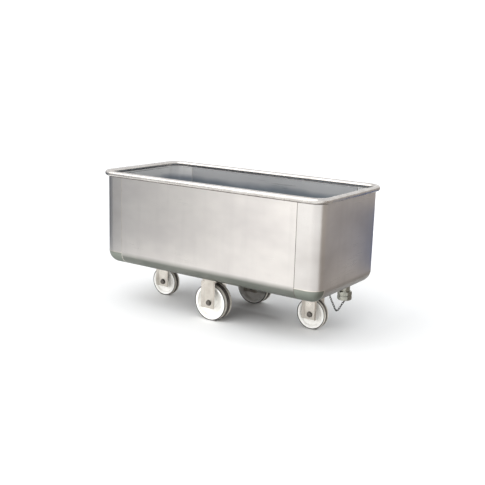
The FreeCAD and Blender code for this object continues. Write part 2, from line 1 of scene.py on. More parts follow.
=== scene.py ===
import logging
import math
from abc import ABC, abstractmethod
from dataclasses import dataclass, field
from enum import Enum
from typing import Any, Optional, Sequence

import bpy
from mathutils import Matrix, Vector


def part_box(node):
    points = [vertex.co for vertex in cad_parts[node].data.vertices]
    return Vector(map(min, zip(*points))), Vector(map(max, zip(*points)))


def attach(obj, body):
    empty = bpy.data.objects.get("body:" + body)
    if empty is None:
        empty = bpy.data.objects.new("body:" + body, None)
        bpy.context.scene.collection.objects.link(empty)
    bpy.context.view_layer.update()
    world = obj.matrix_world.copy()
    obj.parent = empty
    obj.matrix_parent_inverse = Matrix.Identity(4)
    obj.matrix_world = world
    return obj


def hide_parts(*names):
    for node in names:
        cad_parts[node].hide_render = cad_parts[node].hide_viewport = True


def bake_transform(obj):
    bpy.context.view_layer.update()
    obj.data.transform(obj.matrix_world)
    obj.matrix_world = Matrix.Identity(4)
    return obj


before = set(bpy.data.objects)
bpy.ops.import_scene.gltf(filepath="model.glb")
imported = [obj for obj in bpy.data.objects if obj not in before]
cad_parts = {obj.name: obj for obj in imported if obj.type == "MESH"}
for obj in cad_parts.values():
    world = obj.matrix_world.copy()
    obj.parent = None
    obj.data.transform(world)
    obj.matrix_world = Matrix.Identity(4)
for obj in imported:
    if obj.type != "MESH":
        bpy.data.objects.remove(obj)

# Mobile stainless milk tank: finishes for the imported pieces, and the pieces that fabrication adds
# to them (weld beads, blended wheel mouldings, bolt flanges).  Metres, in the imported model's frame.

LOG = logging.getLogger("milk_tank")
MM = 0.001
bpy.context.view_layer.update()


class GrainAxis(Enum):
    """Row axis that a sheet's brushed grain runs along."""

    X = 0
    Y = 1
    Z = 2


class Place(Enum):
    """The four caster places of the diamond, by name."""

    FRONT = "front"
    BACK = "back"
    LEFT = "left"
    RIGHT = "right"


# ------------------------------------------------------------------ material helpers


def linear(hex_colour: str) -> tuple[float, float, float, float]:
    """Turn an sRGB hex colour into a linear RGBA one.

    Args:
        hex_colour: Colour such as "#c8c4be".

    Returns:
        Red, green, blue and alpha, linear.
    """
    parts = [int(hex_colour.lstrip("#")[i : i + 2], 16) / 255 for i in (0, 2, 4)]
    lin = [p / 12.92 if p <= 0.04045 else ((p + 0.055) / 1.055) ** 2.4 for p in parts]
    return (lin[0], lin[1], lin[2], 1.0)


def add_node(
    tree: bpy.types.NodeTree,
    kind: str,
    settings: Optional[dict[str, Any]] = None,
    inputs: Optional[dict[Any, Any]] = None,
) -> bpy.types.Node:
    """Add a node, set its properties, and fill or link its inputs.

    Args:
        tree: Node tree to add to.
        kind: Node type without its "ShaderNode" prefix.
        settings: Property names and values.
        inputs: Input names or numbers, each with a value or an output socket to link.

    Returns:
        The new node.
    """
    node = tree.nodes.new("ShaderNode" + kind)
    for name, value in (settings or {}).items():
        setattr(node, name, value)
    for name, value in (inputs or {}).items():
        if isinstance(value, bpy.types.NodeSocket):
            tree.links.new(value, node.inputs[name])
        else:
            node.inputs[name].default_value = value
    return node


def object_noise(
    tree: bpy.types.NodeTree, per_metre: Sequence[float], detail: float = 2.0, rough: float = 0.5
) -> bpy.types.NodeSocket:
    """Noise over the row frame with its own scale along each axis.

    Args:
        tree: Node tree to add to.
        per_metre: Features per metre along X, Y and Z.
        detail: Octaves.
        rough: Weight of the finer octaves.

    Returns:
        The noise factor's socket.
    """
    place = add_node(tree, "TexCoord").outputs["Object"]
    mapped = add_node(tree, "Mapping", inputs={"Vector": place, "Scale": tuple(per_metre)})
    noise = add_node(
        tree,
        "TexNoise",
        inputs={"Vector": mapped.outputs[0], "Scale": 1.0, "Detail": detail, "Roughness": rough},
    )
    return noise.outputs["Fac"]


def spread(
    tree: bpy.types.NodeTree,
    value: bpy.types.NodeSocket,
    source: tuple[float, float],
    target: tuple[float, float],
) -> bpy.types.NodeSocket:
    """Map a factor from one range to another, clamped.

    Args:
        tree: Node tree to add to.
        value: Socket to map.
        source: Low and high of the incoming range.
        target: What those become.

    Returns:
        The mapped socket.
    """
    node = add_node(
        tree,
        "MapRange",
        inputs={
            "Value": value,
            "From Min": source[0],
            "From Max": source[1],
            "To Min": target[0],
            "To Max": target[1],
        },
    )
    return node.outputs["Result"]


def mix_colour(
    tree: bpy.types.NodeTree, factor: Any, first: Any, second: Any
) -> bpy.types.NodeSocket:
    """Mix two colours.

    Args:
        tree: Node tree to add to.
        factor: Share of the second colour, as a number or a socket.
        first: Colour or socket at 0.
        second: Colour or socket at 1.

    Returns:
        The mixed colour's socket.
    """
    node = add_node(tree, "Mix", {"data_type": "RGBA"}, {0: factor, 6: first, 7: second})
    return node.outputs[2]


def math_node(
    tree: bpy.types.NodeTree, operation: str, first: Any, second: Any = 0.0
) -> bpy.types.NodeSocket:
    """One arithmetic step on numbers or sockets.

    Args:
        tree: Node tree to add to.
        operation: Blender's name for the step, such as "MULTIPLY".
        first: First number or socket.
        second: Second number or socket.

    Returns:
        The result's socket.
    """
    return add_node(tree, "Math", {"operation": operation}, {0: first, 1: second}).outputs[0]


def clouded(
    tree: bpy.types.NodeTree, noise: bpy.types.NodeSocket, first: str, second: str
) -> bpy.types.NodeSocket:
    """Turn one colour into another in soft clouds.

    Args:
        tree: Node tree to add to.
        noise: Noise that draws the clouds.
        first: sRGB hex where the noise is low.
        second: sRGB hex where the noise is high.

    Returns:
        The colour socket.
    """
    return mix_colour(tree, spread(tree, noise, (0.35, 0.7), (0.0, 1.0)), linear(first), linear(second))


@dataclass(frozen=True)
class Finish(ABC):
    """A real material with the process that made its surface."""

    name: str

    def material(self) -> bpy.types.Material:
        """Return this finish's material, built on first use."""
        found = bpy.data.materials.get(self.name)
        if found:
            return found
        made = bpy.data.materials.new(self.name)
        made.use_nodes = True
        tree = made.node_tree
        self.paint(tree, tree.nodes["Principled BSDF"])
        return made

    @abstractmethod
    def paint(self, tree: bpy.types.NodeTree, shader: bpy.types.Node) -> None:
        """Wire the finish's nodes into its shader.

        Args:
            tree: Node tree to add to.
            shader: Principled shader to drive.
        """

    def surface(
        self,
        tree: bpy.types.NodeTree,
        shader: bpy.types.Node,
        heights: Sequence[tuple[bpy.types.NodeSocket, float]],
        edge_mm: float,
    ) -> None:
        """Stack bumps, each a height socket with its depth in millimetres, on softened edges.

        Args:
            tree: Node tree to add to.
            shader: Principled shader to drive.
            heights: Height sockets with their depths.
            edge_mm: Radius that edges appear broken to.
        """
        normal = add_node(tree, "Bevel", {"samples": 4}, {"Radius": edge_mm * MM}).outputs[0]
        for socket, depth_mm in heights:
            bump = add_node(
                tree,
                "Bump",
                inputs={"Height": socket, "Distance": depth_mm * MM, "Strength": 1.0, "Normal": normal},
            )
            normal = bump.outputs[0]
        tree.links.new(normal, shader.inputs["Normal"])


@dataclass(frozen=True)
class SatinStainlessSheet(Finish):
    """304 sheet, satin polished along one axis: soft streaked reflections and a warm grey body.

    The pressed bottom edge is rougher, and its colour is darkened towards the bottom as painted shade.
    Inside the basin, a pale grey above a line and a darker blue-grey below it are painted light and shade,
    and the steel there is partly non-metallic, so it looks less mirror-like.
    """

    grain: GrainAxis = GrainAxis.X
    clean: str = "#d9d4cf"
    hazed: str = "#c3bebb"
    formed: str = "#666b63"
    formed_low: float = 0.0
    formed_high: float = 0.0
    inside: str = "#c6c6c6"
    inside_stained: str = "#8f969d"
    inside_film: float = 0.4
    tide_low: float = 0.0
    tide_high: float = 0.0
    grain_mm: float = 1.6
    low_roughness: float = 0.27
    high_roughness: float = 0.40

    def paint(self, tree: bpy.types.NodeTree, shader: bpy.types.Node) -> None:
        """Grain, polishing haze, slight waviness of thin sheet, the rougher bottom edge with its painted
        shade, and painted light and shade inside.

        Args:
            tree: Node tree to add to.
            shader: Principled shader to drive.
        """
        across = 1000 / self.grain_mm
        scale = [across, across, across]
        scale[self.grain.value] = 5.0
        grain = object_noise(tree, scale, 2.0, 0.6)
        haze = object_noise(tree, (3.2, 3.2, 5.5), 3.0, 0.55)
        wave = object_noise(tree, (3.0, 3.0, 4.2), 1.0, 0.3)
        wiped = object_noise(tree, (26.0, 26.0, 2.2), 2.0, 0.5)
        colour = clouded(tree, haze, self.clean, self.hazed)
        colour = mix_colour(tree, spread(tree, wiped, (0.5, 0.8), (0.0, 0.35)), colour, linear(self.hazed))
        coords = add_node(tree, "TexCoord")
        height = add_node(tree, "SeparateXYZ", inputs={0: coords.outputs["Object"]}).outputs[2]
        # painted shade: the colour darkens towards the pressed bottom edge; roughness also rises there
        edge = spread(tree, height, (self.formed_low, self.formed_high), (1.0, 0.0))
        edge = math_node(tree, "MULTIPLY", edge, spread(tree, haze, (0.3, 0.7), (0.8, 1.0)))
        colour = mix_colour(tree, edge, colour, linear(self.formed))
        outward = add_node(
            tree,
            "VectorMath",
            {"operation": "DOT_PRODUCT"},
            {0: coords.outputs["Normal"], 1: self.from_middle(tree, coords)},
        ).outputs["Value"]
        within = spread(tree, outward, (-0.02, 0.0), (1.0, 0.0))
        # painted light and shade inside: the pale grey above a wobbly line, the darker blue-grey painted
        # shade below it
        tide = math_node(tree, "ADD", height, spread(tree, haze, (0.3, 0.7), (-0.012, 0.012)))
        lining = mix_colour(
            tree, spread(tree, tide, (self.tide_low, self.tide_high), (1.0, 0.0)),
            linear(self.inside), linear(self.inside_stained))
        colour = mix_colour(tree, within, colour, lining)
        worn = math_node(tree, "ADD", grain, haze)
        rough = spread(tree, worn, (0.7, 1.3), (self.low_roughness, self.high_roughness))
        rough = math_node(tree, "ADD", rough, math_node(tree, "MULTIPLY", edge, 0.12))
        tree.links.new(colour, shader.inputs["Base Color"])
        tree.links.new(rough, shader.inputs["Roughness"])
        bare = spread(tree, within, (0.0, 1.0), (1.0, 1.0 - self.inside_film))
        tree.links.new(bare, shader.inputs["Metallic"])
        self.surface(tree, shader, [(wave, 1.6), (grain, 0.02)], 0.6)

    def from_middle(self, tree: bpy.types.NodeTree, coords: bpy.types.Node) -> bpy.types.NodeSocket:
        """Vector from the basin's middle to the surface, which an inside face's normal points against.

        Args:
            tree: Node tree to add to.
            coords: Texture coordinate node.

        Returns:
            The vector's socket.
        """
        middle = (0.0, 0.0, (SHELL_LOW.z + SHELL_HIGH.z) / 2)
        return add_node(
            tree, "VectorMath", {"operation": "SUBTRACT"}, {0: coords.outputs["Object"], 1: middle}
        ).outputs["Vector"]


@dataclass(frozen=True)
class WorkedStainless(Finish):
    """Stainless with a fine even tool or polish mark: tube, turned fittings, pressings, fasteners."""

    light: str = "#d2cec8"
    dark: str = "#a8a49e"
    mark_per_metre: tuple[float, float, float] = (120.0, 120.0, 120.0)
    mark_depth_mm: float = 0.02
    low_roughness: float = 0.2
    high_roughness: float = 0.34
    edge_mm: float = 0.5

    def paint(self, tree: bpy.types.NodeTree, shader: bpy.types.Node) -> None:
        """Tool marks over a slow stain, both in colour and roughness.

        Args:
            tree: Node tree to add to.
            shader: Principled shader to drive.
        """
        marks = object_noise(tree, self.mark_per_metre, 2.0, 0.55)
        stain = object_noise(tree, (18.0, 18.0, 18.0), 4.0, 0.6)
        colour = clouded(tree, stain, self.light, self.dark)
        both = math_node(tree, "ADD", marks, stain)
        rough = spread(tree, both, (0.7, 1.3), (self.low_roughness, self.high_roughness))
        tree.links.new(colour, shader.inputs["Base Color"])
        tree.links.new(rough, shader.inputs["Roughness"])
        shader.inputs["Metallic"].default_value = 1.0
        self.surface(tree, shader, [(marks, self.mark_depth_mm)], self.edge_mm)


@dataclass(frozen=True)
class MouldedPlastic(Finish):
    """Moulded plastic: a slightly glossy skin, faint flow clouds, and scattered specks of dust."""

    base: str = "#faf9f5"
    cloud: str = "#f0eee9"
    grime: str = "#b4aea2"
    grime_share: float = 0.25
    roughness: tuple[float, float] = (0.32, 0.5)
    grit_depth_mm: float = 0.05

    def paint(self, tree: bpy.types.NodeTree, shader: bpy.types.Node) -> None:
        """Flow clouds, fine grit and grime specks scattered at random.

        Args:
            tree: Node tree to add to.
            shader: Principled shader to drive.
        """
        cloud = object_noise(tree, (22.0, 22.0, 22.0), 3.0, 0.5)
        grit = object_noise(tree, (480.0, 480.0, 480.0), 2.0, 0.6)
        specks = object_noise(tree, (130.0, 130.0, 130.0), 4.0, 0.7)
        colour = clouded(tree, cloud, self.base, self.cloud)
        dirty = spread(tree, specks, (0.52, 0.8), (0.0, self.grime_share))
        colour = mix_colour(tree, dirty, colour, linear(self.grime))
        rough = spread(tree, cloud, (0.3, 0.7), self.roughness)
        tree.links.new(colour, shader.inputs["Base Color"])
        tree.links.new(rough, shader.inputs["Roughness"])
        shader.inputs["IOR"].default_value = 1.5
        self.surface(tree, shader, [(cloud, 0.1), (grit, self.grit_depth_mm)], 0.6)


@dataclass(frozen=True)
class RunRubber(Finish):
    """Moulded rubber that has rolled on floors: matt, greyed by scuffs along its running face."""

    base: str = "#524d49"
    scuffed: str = "#766f69"

    def paint(self, tree: bpy.types.NodeTree, shader: bpy.types.Node) -> None:
        """Scuff patches and a fine torn grain.

        Args:
            tree: Node tree to add to.
            shader: Principled shader to drive.
        """
        scuff = object_noise(tree, (45.0, 45.0, 45.0), 4.0, 0.65)
        torn = object_noise(tree, (700.0, 260.0, 700.0), 3.0, 0.6)
        patch = spread(tree, scuff, (0.42, 0.7), (0.0, 0.8))
        colour = mix_colour(tree, patch, linear(self.base), linear(self.scuffed))
        tree.links.new(colour, shader.inputs["Base Color"])
        tree.links.new(spread(tree, torn, (0.3, 0.7), (0.62, 0.88)), shader.inputs["Roughness"])
        shader.inputs["IOR"].default_value = 1.52
        self.surface(tree, shader, [(torn, 0.12), (scuff, 0.1)], 0.5)


@dataclass(frozen=True)
class CoatedFloor(Finish):
    """Pale painted floor with a faint trowelled unevenness."""

    base: str = "#f4f4f3"

    def paint(self, tree: bpy.types.NodeTree, shader: bpy.types.Node) -> None:
        """Even pale paint with a slow change of sheen.

        Args:
            tree: Node tree to add to.
            shader: Principled shader to drive.
        """
        slow = object_noise(tree, (1.2, 1.2, 1.2), 2.0, 0.5)
        tree.links.new(spread(tree, slow, (0.3, 0.7), (0.6, 0.75)), shader.inputs["Roughness"])
        shader.inputs["Base Color"].default_value = linear(self.base)
        shader.inputs["Specular IOR Level"].default_value = 0.2


# ------------------------------------------------------------------ mesh helpers


def new_piece(
    name: str,
    points: Sequence[Vector],
    faces: Sequence[Sequence[int]],
    finish: Finish,
    body: str,
    slot: str,
    sharp_degrees: float = 35.0,
) -> bpy.types.Object:
    """Make a mesh object, finish it and set it riding.

    Args:
        name: Object's name.
        points: Corner points in the row frame.
        faces: Corner numbers of each face.
        finish: What it is made of.
        body: Body that it rides on.
        slot: Not used.
        sharp_degrees: Edges bent more than this stay sharp.

    Returns:
        The object.
    """
    mesh = bpy.data.meshes.new(name)
    mesh.from_pydata([tuple(p) for p in points], [], [tuple(f) for f in faces])
    mesh.validate()
    mesh.polygons.foreach_set("use_smooth", [True] * len(mesh.polygons))
    mesh.set_sharp_from_angle(angle=math.radians(sharp_degrees))
    mesh.materials.append(finish.material())
    piece = bpy.data.objects.new(name, mesh)
    bpy.context.scene.collection.objects.link(piece)
    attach(piece, body)
    return piece


def rounded_outline(
    corners: Sequence[tuple[float, float, float]], steps: int = 5
) -> list[tuple[float, float]]:
    """Replace each corner of a closed outline with an arc.

    Args:
        corners: x, y and arc radius of each corner.
        steps: Segments per arc.

    Returns:
        The rounded outline's points.
    """
    outline: list[tuple[float, float]] = []
    count = len(corners)
    for index, (x, y, radius) in enumerate(corners):
        here = Vector((x, y))
        back = Vector(corners[index - 1][:2]) - here
        ahead = Vector(corners[(index + 1) % count][:2]) - here
        turn = back.angle(ahead)
        if radius <= 0 or turn > math.pi - 0.01:
            outline.append((x, y))
            continue
        reach = min(radius / math.tan(turn / 2), back.length * 0.48, ahead.length * 0.48)
        start = here + back.normalized() * reach
        end = here + ahead.normalized() * reach
        for step in range(steps + 1):
            t = step / steps
            bent = start * (1 - t) ** 2 + here * (2 * t * (1 - t)) + end * t**2
            outline.append((bent.x, bent.y))
    return outline


def lathe(
    outline: Sequence[tuple[float, float]], centre: Vector, axis: Vector, segments: int
) -> tuple[list[Vector], list[tuple[int, ...]]]:
    """Turn a closed (radius, along) outline about an axis.

    Args:
        outline: Closed outline.
        centre: Point on the axis where along is 0.
        axis: Unit axis.
        segments: Steps round the axis.

    Returns:
        Points and faces.
    """
    side = axis.orthogonal().normalized()
    other = axis.cross(side)
    points: list[Vector] = []
    faces: list[tuple[int, ...]] = []
    count = len(outline)
    for step in range(segments):
        turn = 2 * math.pi * step / segments
        out = side * math.cos(turn) + other * math.sin(turn)
        points += [centre + out * r + axis * a for r, a in outline]
        follow = (step + 1) % segments
        for k in range(count):
            nxt = (k + 1) % count
            faces.append((step * count + k, step * count + nxt, follow * count + nxt, follow * count + k))
    return points, faces


@dataclass
class SurfaceLine:
    """A line that lies on a surface: its points, with the surface's normal at each."""

    points: list[Vector] = field(default_factory=list)
    normals: list[Vector] = field(default_factory=list)

    def straight(self, end: Vector, normal: Vector, step: float) -> None:
        """Go straight on to a point, adding a point at every step.

        Args:
            end: Where the line goes.
            normal: The surface's normal there.
            step: Length of a step.
        """
        start = self.points[-1] if self.points else end
        count = max(1, round((end - start).length / step))
        first = 1 if self.points else count
        for k in range(first, count + 1):
            self.points.append(start.lerp(end, k / count))
            self.normals.append(normal.copy())

    def arc(
        self, centre: Vector, start: Vector, end: Vector, radius: float, step: float, facing: float = 1.0
    ) -> None:
        """Go round a quarter turn from one unit direction to another about a centre.

        Args:
            centre: Centre of the turn.
            start: Unit direction from the centre where it starts.
            end: Unit direction from the centre where it ends.
            radius: Radius of the turn.
            step: Length of a step.
            facing: 1 where the normal points away from the centre, -1 where it points to it.
        """
        count = max(6, round(radius * math.pi / 2 / step))
        for k in range(0 if not self.points else 1, count + 1):
            turn = math.pi / 2 * k / count
            out = start * math.cos(turn) + end * math.sin(turn)
            self.points.append(centre + out * radius)
            self.normals.append(out * facing)


@dataclass(frozen=True)
class BeadShape:
    """Section of a weld bead and its ripples."""

    width: float
    rise: float
    sink: float = 0.0002
    ripple: float = 0.0
    ripple_pitch: float = 0.002
    step: float = 0.004


def bead_mesh(
    line: SurfaceLine, shape: BeadShape, closed: bool
) -> tuple[list[Vector], list[tuple[int, ...]]]:
    """Lay a crowned bead along a surface line.

    Args:
        line: Where it lies.
        shape: Its section.
        closed: Whether its ends meet.

    Returns:
        Points and faces.
    """
    section = [(-1.0, 0.0), (-0.62, 0.72), (0.0, 1.0), (0.62, 0.72), (1.0, 0.0)]
    points: list[Vector] = []
    faces: list[tuple[int, ...]] = []
    count = len(line.points)
    travelled = 0.0
    for i, (point, normal) in enumerate(zip(line.points, line.normals)):
        before = line.points[i - 1] if (i or closed) else point
        after = line.points[(i + 1) % count] if (i + 1 < count or closed) else point
        along = (after - before).normalized()
        side = along.cross(normal).normalized()
        travelled += (point - line.points[i - 1]).length if i else 0.0
        swell = 1.0 + shape.ripple * math.sin(2 * math.pi * travelled / shape.ripple_pitch)
        for across, up in section:
            lift = normal * (shape.rise * up * swell - shape.sink * (1 - up))
            points.append(point + side * (across * shape.width / 2 * swell) + lift)
    ring = len(section)
    last = count if closed else count - 1
    for i in range(last):
        j = (i + 1) % count
        for k in range(ring):
            m = (k + 1) % ring
            faces.append((i * ring + k, i * ring + m, j * ring + m, j * ring + k))
    if not closed:
        faces.append(tuple(range(ring)))
        faces.append(tuple((count - 1) * ring + k for k in reversed(range(ring))))
    return points, faces


def weld_piece(
    name: str, lines: Sequence[SurfaceLine], shape: BeadShape, finish: Finish, body: str, closed: bool = False
) -> bpy.types.Object:
    """Make one piece of one or more weld beads.

    Args:
        name: Object's name.
        lines: Where the beads lie.
        shape: Their section.
        finish: Their surface.
        body: Body that they ride on.
        closed: Whether each bead's ends meet.

    Returns:
        The object.
    """
    points: list[Vector] = []
    faces: list[tuple[int, ...]] = []
    for line in lines:
        more, loops = bead_mesh(line, shape, closed)
        faces += [tuple(n + len(points) for n in loop) for loop in loops]
        points += more
    return new_piece(name, points, faces, finish, body, "satin_stainless", 80.0)


def dress(node: str, finish: Finish) -> None:
    """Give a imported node's slots a finish.

    Args:
        node: Name of the node.
        finish: What it is made of.
    """
    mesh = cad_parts[node].data
    if not mesh.materials:
        mesh.materials.append(finish.material())
    for index in range(len(mesh.materials)):
        mesh.materials[index] = finish.material()


# ------------------------------------------------------------------ the object's finishes

SHELL_LOW, SHELL_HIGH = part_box("trough_sheet")
FORMED_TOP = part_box("corner_knuckle_front_right")[1].z
# Inside the basin, painted shade below this line, 48 mm under the top edge.
TIDE_LINE = SHELL_HIGH.z - 48 * MM

# Satin polish along the sheet: long soft streaks, warm pale grey; rougher and painted darker (painted shade)
# at the pressed bottom edge, with painted light and shade inside.
TROUGH_SATIN = SatinStainlessSheet(
    "stainless_sheet_satin_polished_lengthwise",
    grain=GrainAxis.X,
    formed_low=FORMED_TOP - 16 * MM,
    formed_high=FORMED_TOP + 6 * MM,
    tide_low=TIDE_LINE - 12 * MM,
    tide_high=TIDE_LINE + 12 * MM,
)
# The end panels are polished the other way before they are bent, and look greyer.
# Their bottom is painted darker over a wider band (painted shade), and the inside is painted pale above the
# line and blue-grey below it (painted light and shade).
END_SATIN = SatinStainlessSheet(
    "stainless_sheet_satin_polished_crosswise",
    grain=GrainAxis.Y,
    clean="#d3cfcb",
    hazed="#bcb7b3",
    formed="#67645f",
    inside="#e2e1df",
    inside_stained="#999fa7",
    inside_film=0.5,
    formed_low=FORMED_TOP - 40 * MM,
    formed_high=FORMED_TOP + 2 * MM,
    tide_low=TIDE_LINE - 12 * MM,
    tide_high=TIDE_LINE + 12 * MM,
)
# Deep-pressed knuckles keep a rougher, unpolished skin; their darker, slightly green colour, darkest towards
# the bottom, is painted shade.
KNUCKLE_PRESSED = SatinStainlessSheet(
    "stainless_pressing_unpolished",
    grain=GrainAxis.Z,
    clean="#979b92",
    hazed="#82877f",
    formed="#6f746c",
    formed_low=SHELL_LOW.z,
    formed_high=FORMED_TOP - 8 * MM,
    low_roughness=0.38,
    high_roughness=0.5,
)
# Bright-drawn tube: sharper, lighter reflections than the sheet.
RIM_BRIGHT = WorkedStainless(
    "stainless_tube_bright_polished", light="#d6d2cd", dark="#c2bdb8", mark_per_metre=(40.0, 40.0, 40.0),
    mark_depth_mm=0.008
)
# Ground-back weld: lighter and scratched against the satin sheet.
WELD_GROUND = WorkedStainless(
    "stainless_weld_ground_back", light="#e2dbd2", dark="#b9b1a6", mark_per_metre=(400.0, 400.0, 400.0),
    mark_depth_mm=0.06, low_roughness=0.3, high_roughness=0.45,
)
# Seam at the right end: a thin dull brown-grey line, partly the real weld bead and partly painted shade of
# the overlapping sheet edge.
WELD_PICKLED = WorkedStainless(
    "stainless_weld_pickled", light="#857c74", dark="#5f5852", mark_per_metre=(300.0, 300.0, 300.0),
    mark_depth_mm=0.08, low_roughness=0.42, high_roughness=0.6,
)
# Weld in the corner under the rim: its nearly black colour is painted shade under the tube.
WELD_CREVICE = WorkedStainless(
    "stainless_weld_soiled", light="#38332f", dark="#1f1c1a", mark_per_metre=(200.0, 200.0, 200.0),
    mark_depth_mm=0.08, low_roughness=0.5, high_roughness=0.7,
)
# Turned bar: tight rings round the fitting's own axis, soft warm grey.
DRAIN_TURNED = WorkedStainless(
    "stainless_bar_turned", light="#b7b6ab", dark="#8f8f86", mark_per_metre=(30.0, 30.0, 900.0),
    mark_depth_mm=0.03
)
# Pressed and electropolished caster steel: pale and evenly bright, faint drawing lines down the legs.
FORK_PRESSED = WorkedStainless(
    "stainless_pressing_electropolished", light="#ded8cf", dark="#c0b9af",
    mark_per_metre=(260.0, 260.0, 14.0),
    mark_depth_mm=0.05, low_roughness=0.24, high_roughness=0.38,
)
# Cold-headed fasteners: small, darker, with an oily stain in slow clouds.
FASTENER_PLAIN = WorkedStainless(
    "stainless_fastener_cold_headed", light="#7d7973", dark="#4c4945", mark_per_metre=(500.0, 500.0, 500.0)
)
# Drawn wire of the chain, hook and eye: dull grey.
WIRE_DRAWN = WorkedStainless(
    "stainless_wire_drawn", light="#55554f", dark="#33322f", mark_per_metre=(600.0, 600.0, 600.0), edge_mm=0.2
)
# Injection-moulded white polyolefin: waxy, nearly white, a little yellowed.
WHEEL_WHITE = MouldedPlastic("polyolefin_moulded_white")
NYLON_GREY = MouldedPlastic("nylon_moulded_grey", base="#6a6a68", cloud="#5a5a58", grime="#3c3a37")
SEAL_BLACK = RunRubber("nitrile_moulded", base="#1d1d1c", scuffed="#33322f")
# Pale rubber tyre: pale on its shoulders, a darker grey-brown band round the middle of its running face,
# black at its bonded edge.
TREAD_SHOULDER = RunRubber("rubber_tread_pale_shoulder", base="#d9d4ca", scuffed="#a39c90")
TREAD_WORN = RunRubber("rubber_tread_worn_band", base="#4a4440", scuffed="#6c645d")
TREAD_EDGE = RunRubber("rubber_tread_bonded_edge", base="#24211f", scuffed="#3d3936")


# ------------------------------------------------------------------ sub-assemblies


@dataclass
class TankShell:
    """Trough sheet, end panels and knuckles, with the seams that join them."""

    seam_width: float = 3.0 * MM
    seam_rise: float = 0.25 * MM
    sheet: float = 2.0 * MM

    def __post_init__(self) -> None:
        """Read the shell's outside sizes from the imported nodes."""
        knuckle_low, knuckle_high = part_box("corner_knuckle_front_right")
        self.low = SHELL_LOW.z
        self.top = SHELL_HIGH.z
        self.half_width = SHELL_HIGH.y
        self.half_length = knuckle_high.x
        self.seam_x = SHELL_HIGH.x
        self.radius = knuckle_high.z - knuckle_low.z

    def dress(self) -> None:
        """Give each sheet and pressing its finish."""
        dress("trough_sheet", TROUGH_SATIN)
        for end in ("left", "right"):
            dress("end_panel_" + end, END_SATIN)
            for face in ("front", "back"):
                dress(f"corner_knuckle_{face}_{end}", KNUCKLE_PRESSED)

    def girth_line(self, x: float, inset: float, step: float) -> SurfaceLine:
        """Line down the front wall, under the bottom and up the back wall.

        Args:
            x: Where along the tank.
            inset: 0 for the outside face, the sheet's thickness for the inside one.
            step: Distance between points.

        Returns:
            The line.
        """
        facing = 1.0 if inset == 0 else -1.0
        y = self.half_width - inset
        radius = self.radius - inset
        low = self.low + inset
        line = SurfaceLine()
        front, back, up, down = Vector((0, -1, 0)), Vector((0, 1, 0)), Vector((0, 0, 1)), Vector((0, 0, -1))
        line.straight(Vector((x, -y, self.top - 2 * MM)), front * facing, step)
        line.straight(Vector((x, -y, low + radius)), front * facing, step)
        line.arc(Vector((x, -y + radius, low + radius)), front, down, radius, step, facing)
        line.straight(Vector((x, y - radius, low)), down * facing, step)
        line.arc(Vector((x, y - radius, low + radius)), down, back, radius, step, facing)
        line.straight(Vector((x, y, self.top - 2 * MM)), back * facing, step)
        return line

    def knuckle_line(self, end: float, face: float, inset: float, step: float) -> SurfaceLine:
        """Line round a knuckle: along the side, round the corner, then down the end and under.

        Args:
            end: -1 or 1 along X.
            face: -1 or 1 along Y.
            inset: 0 for the outside face, the sheet's thickness for the inside one.
            step: Distance between points.

        Returns:
            The line.
        """
        facing = 1.0 if inset == 0 else -1.0
        x = self.half_length - inset
        y = self.half_width - inset
        radius = self.radius - inset
        top = self.low + self.radius
        out_x, out_y, down = Vector((end, 0, 0)), Vector((0, face, 0)), Vector((0, 0, -1))
        line = SurfaceLine()
        line.straight(Vector((end * self.seam_x, face * y, top)), out_y * facing, step)
        line.straight(Vector((end * (x - radius), face * y, top)), out_y * facing, step)
        line.arc(Vector((end * (x - radius), face * (y - radius), top)), out_y, out_x, radius, step, facing)
        line.arc(Vector((end * (x - radius), face * (y - radius), top)), out_x, down, radius, step, facing)
        line.straight(Vector((end * self.seam_x, face * (y - radius), self.low + inset)), down * facing, step)
        return line

    def build_seams(self) -> None:
        """Lay the girth seams and the knuckle seams, outside and inside."""
        pickled = BeadShape(self.seam_width, self.seam_rise, ripple=0.06, ripple_pitch=9 * MM, step=3 * MM)
        ground = BeadShape(
            self.seam_width * 1.3, self.seam_rise, ripple=0.04, ripple_pitch=11 * MM, step=3 * MM
        )
        for inset, side in ((0.0, "outer"), (self.sheet, "inner")):
            # the right seam's dark colour is painted shade of the overlapping sheet edge
            for end, end_name, finish in ((-1, "left", WELD_GROUND), (1, "right", WELD_PICKLED)):
                girth = self.girth_line(end * self.seam_x, inset, pickled.step)
                weld_piece(f"{side}_girth_seam_{end_name}", [girth], pickled, finish, "tank")
            rounds = [
                self.knuckle_line(end, face, inset, ground.step)
                for end in (-1.0, 1.0)
                for face in (-1.0, 1.0)
            ]
            weld_piece(f"{side}_knuckle_seams", rounds, ground, WELD_GROUND, "tank")


